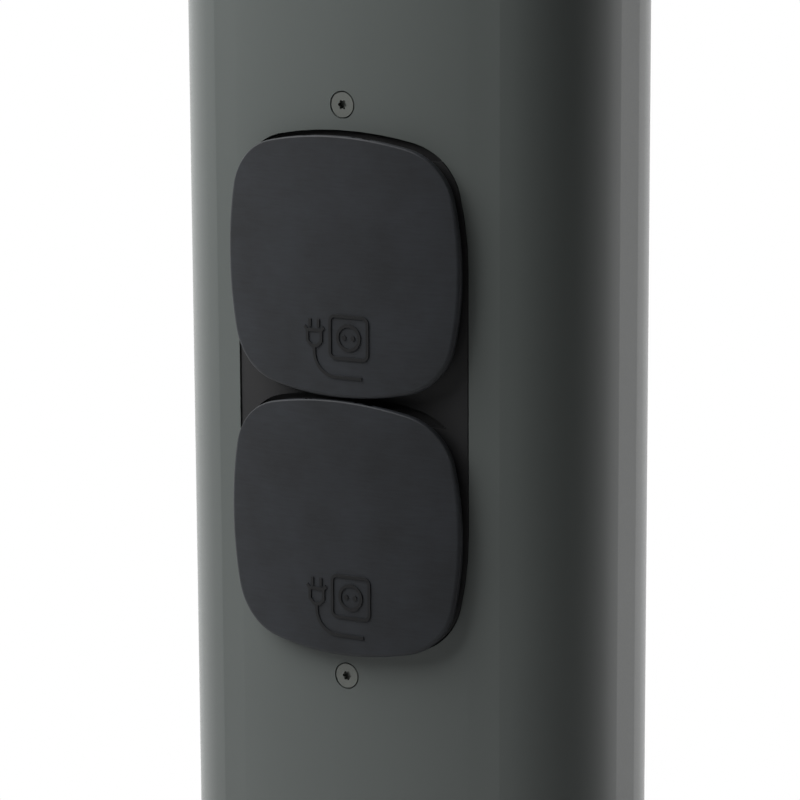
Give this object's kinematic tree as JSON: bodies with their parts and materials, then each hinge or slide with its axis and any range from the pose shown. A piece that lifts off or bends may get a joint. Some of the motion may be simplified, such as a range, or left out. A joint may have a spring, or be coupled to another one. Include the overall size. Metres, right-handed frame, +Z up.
{
  "type": "bollard light with socket",
  "caption": "Slim oval bollard light: a foot plate, a lit band under a flat cap, and covered outdoor sockets behind hinged rubber lids on its front.",
  "frame": {"origin": "middle of the underside of the foot plate", "axes": "+Z up along the column, the socket face looks along -Y, +X to the right seen from behind it"},
  "size_m": [0.19, 0.128, 0.8],
  "materials": {
    "column_coat": "satin anthracite powder coat, very fine grain",
    "lid_rubber": "matte moulded rubber with a fine grain",
    "panel_plastic": "matte black moulded nylon",
    "socket_plastic": "fine-grained black thermoplastic",
    "seal_rubber": "matte black EPDM rubber",
    "face_screw_steel": "stainless steel with a dark coat",
    "screw_steel": "plain stainless steel",
    "spring_steel": "drawn stainless spring wire",
    "contact_brass": "nickel-free brass, lightly tarnished",
    "cover_plastic": "grey moulded polycarbonate",
    "tray_steel": "zinc-plated sheet steel",
    "driver_case": "white moulded plastic",
    "window_opal": "opal polycarbonate, satin",
    "reflector_white": "matte white paint",
    "board_laminate": "white solder mask on laminate",
    "light_sources": "yellow phosphor under clear resin",
    "lead_sheath": "black flexible sheath",
    "earth_sheath": "green flexible sheath with a yellow stripe"
  },
  "bodies": {
    "housing": {"cable_clamp": "cover_plastic", "carrier_gasket": "seal_rubber", "carrier_screws": "face_screw_steel", "clamp_screws": "screw_steel", "column": "column_coat", "column_seal": "seal_rubber", "contact_sleeves_lower": "contact_brass", "contact_sleeves_upper": "contact_brass", "driver_lead": "lead_sheath", "driver_screws": "screw_steel", "earth_clip_lower": "contact_brass", "earth_clip_upper": "contact_brass", "earth_lead": "earth_sheath", "earth_terminal": "contact_brass", "foot_plate": "column_coat", "foot_screws": "screw_steel", "gear_tray": "tray_steel", "head_plate": "column_coat", "head_screws": "screw_steel", "hinge_pin_lower": "screw_steel", "hinge_pin_upper": "screw_steel", "led_board": "board_laminate", "led_driver": "driver_case", "led_lead": "lead_sheath", "leds": "light_sources", "lid_seal_lower": "seal_rubber", "lid_seal_upper": "seal_rubber", "lid_spring_lower": "spring_steel", "lid_spring_upper": "spring_steel", "rear_cover_lower": "cover_plastic", "rear_cover_upper": "cover_plastic", "reflector": "reflector_white", "socket_carrier": "panel_plastic", "socket_insert_lower": "socket_plastic", "socket_insert_upper": "socket_plastic", "socket_leads": "lead_sheath", "socket_screws": "screw_steel", "terminal_block": "cover_plastic", "terminal_screws": "screw_steel", "tie_nuts": "screw_steel", "tie_rods": "screw_steel", "top_cap": "column_coat", "tray_screws": "screw_steel", "window": "window_opal", "window_seal_lower": "seal_rubber", "window_seal_upper": "seal_rubber"},
    "lid_upper": {"lid_upper": "lid_rubber"},
    "lid_lower": {"lid_lower": "lid_rubber"}
  },
  "joints": [
    {"name": "upper_lid_hinge", "type": "hinge", "parent": "housing", "child": "lid_upper", "pos_m": [0, -0.04164, 0.4671], "axis": [-1, 0, 0], "range_deg": [0, 90], "stiffness_Nm_per_rad": 0.01, "springref_deg": -28.65, "deforming": ["lid_spring_upper"]},
    {"name": "lower_lid_hinge", "type": "hinge", "parent": "housing", "child": "lid_lower", "pos_m": [0, -0.04164, 0.3961], "axis": [-1, 0, 0], "range_deg": [0, 90], "stiffness_Nm_per_rad": 0.01, "springref_deg": -28.65, "deforming": ["lid_spring_lower"]}
  ]
}
